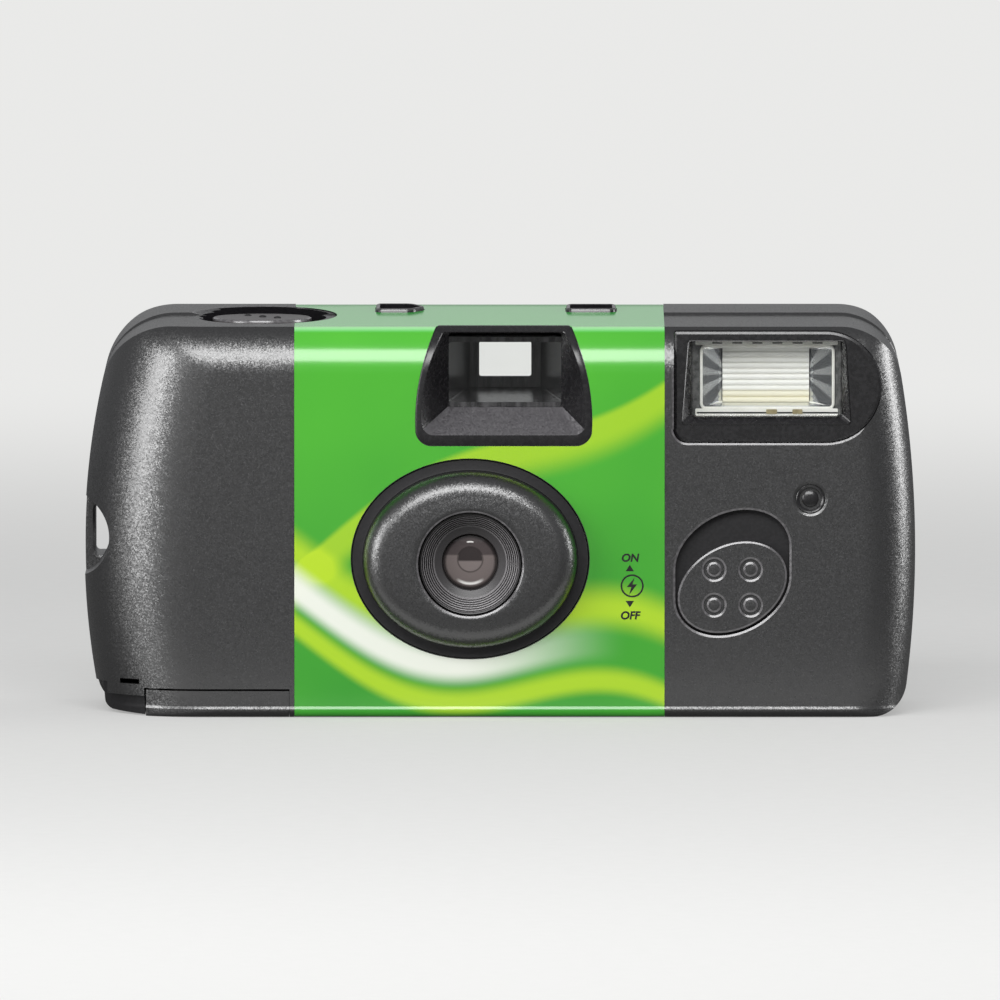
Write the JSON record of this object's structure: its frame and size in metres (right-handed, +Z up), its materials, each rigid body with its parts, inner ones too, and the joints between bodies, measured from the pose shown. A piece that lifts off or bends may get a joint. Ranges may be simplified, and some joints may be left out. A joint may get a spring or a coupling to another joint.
{
  "type": "disposable film camera",
  "caption": "Single-use 35 mm film camera: split plastic case in a wrap label, raised oval lens mount, viewfinder, flash with slide switch, shutter button, advance wheel, film door.",
  "frame": {"origin": "middle of the base, under the middle of the outer box", "axes": "+X to the right in the front view, +Y from the lens to the back, +Z up"},
  "size_m": [0.108, 0.0336, 0.052],
  "materials": {
    "charcoal_plastic": "fine-grained satin",
    "black_plastic": "matte",
    "printed_label": "printed gloss",
    "clear_plastic": "clear gloss",
    "pale_plastic": "matte",
    "spring_steel": "bare",
    "cartridge_metal": "satin",
    "film_base": "gloss",
    "bright_reflector": "polished",
    "tube_glass": "clear",
    "circuit_board": "satin",
    "component_body": "satin",
    "cell_jacket": "satin"
  },
  "bodies": {
    "camera": {"front_cover": "charcoal_plastic", "rear_cover": "charcoal_plastic", "wrap_label": "printed_label", "chassis": "black_plastic", "mechanism_deck": "black_plastic", "lens_holder": "black_plastic", "taking_lens": "clear_plastic", "lens_retainer": "black_plastic", "blade_spring": "spring_steel", "striker_spring": "spring_steel", "release_pin": "spring_steel", "release_spring": "spring_steel", "wheel_pawl": "spring_steel", "cartridge_shell": "cartridge_metal", "cartridge_caps": "black_plastic", "film_strip": "film_base", "counter_window": "clear_plastic", "finder_front_lens": "clear_plastic", "finder_tube": "black_plastic", "finder_eyepiece": "clear_plastic", "flash_window": "clear_plastic", "flash_reflector": "bright_reflector", "flash_tube": "tube_glass", "tube_caps": "spring_steel", "flash_board": "circuit_board", "main_capacitor": "component_body", "transformer": "component_body", "trigger_coil": "component_body", "resistors": "component_body", "battery": "cell_jacket", "contact_negative": "spring_steel", "contact_positive": "spring_steel", "switch_contact": "spring_steel", "sync_contact": "spring_steel", "ready_lamp": "tube_glass", "light_pipe": "clear_plastic"},
    "button": {"shutter_button": "charcoal_plastic"},
    "release": {"release_lever": "spring_steel"},
    "wind": {"advance_wheel": "black_plastic", "cartridge_spool": "black_plastic"},
    "sprocket": {"sprocket_wheel": "pale_plastic"},
    "counter": {"counter_disc": "pale_plastic"},
    "supply": {"supply_spool": "black_plastic", "film_roll": "film_base"},
    "striker": {"striker": "spring_steel"},
    "blade": {"shutter_blade": "spring_steel"},
    "switch": {"flash_switch": "charcoal_plastic"},
    "door": {"film_door": "black_plastic"}
  },
  "joints": [
    {"name": "button_press", "type": "slide", "parent": "camera", "child": "button", "axis": [0, 0, -1], "range_m": [0, 0.0008], "stiffness_N_per_m": 800},
    {"name": "release_rock", "type": "hinge", "parent": "camera", "child": "release", "pos_m": [-0.0195, -0.0006, 0.04637], "axis": [0, -1, 0], "range_deg": [0, 4.2], "deforming": ["release_spring"]},
    {"name": "wheel_turn", "type": "hinge", "parent": "camera", "child": "wind", "pos_m": [-0.036, 0.0028, 0.043], "axis": [0, 0, 1], "continuous": true},
    {"name": "sprocket_turn", "type": "hinge", "parent": "camera", "child": "sprocket", "pos_m": [-0.0079, 0.00647, 0.035], "axis": [0, 0, 1], "continuous": true},
    {"name": "counter_turn", "type": "hinge", "parent": "camera", "child": "counter", "pos_m": [-0.015, 0.004, 0.0483], "axis": [0, 0, 1], "continuous": true},
    {"name": "supply_turn", "type": "hinge", "parent": "camera", "child": "supply", "pos_m": [0.0315, 0.00278, 0.02], "axis": [0, 0, 1], "continuous": true},
    {"name": "striker_swing", "type": "hinge", "parent": "camera", "child": "striker", "pos_m": [-0.0145, -0.0039, 0.038], "axis": [0, 0, 1], "range_deg": [0, 45], "stiffness_Nm_per_rad": 0.0005},
    {"name": "blade_swing", "type": "hinge", "parent": "camera", "child": "blade", "pos_m": [-0.0115, -0.0082, 0.0278], "axis": [0, 1, 0], "range_deg": [0, 30.1], "deforming": ["blade_spring"]},
    {"name": "switch_slide", "type": "slide", "parent": "camera", "child": "switch", "axis": [0, 0, 1], "range_m": [0, 0.0038]},
    {"name": "door_swing", "type": "hinge", "parent": "camera", "child": "door", "pos_m": [-0.0279, 0.002, 0.0006], "axis": [0, -1, 0], "range_deg": [0, 100]}
  ],
  "couplings": [
    {"joint": "release_rock", "follows": "button_press", "rad_per_m": 87.719},
    {"joint": "sprocket_turn", "follows": "wheel_turn", "ratio": 0.8595},
    {"joint": "counter_turn", "follows": "wheel_turn", "ratio": -0.02865},
    {"joint": "supply_turn", "follows": "wheel_turn", "ratio": 0.61905},
    {"joint": "blade_swing", "follows": "striker_swing", "ratio": 0.6667}
  ]
}
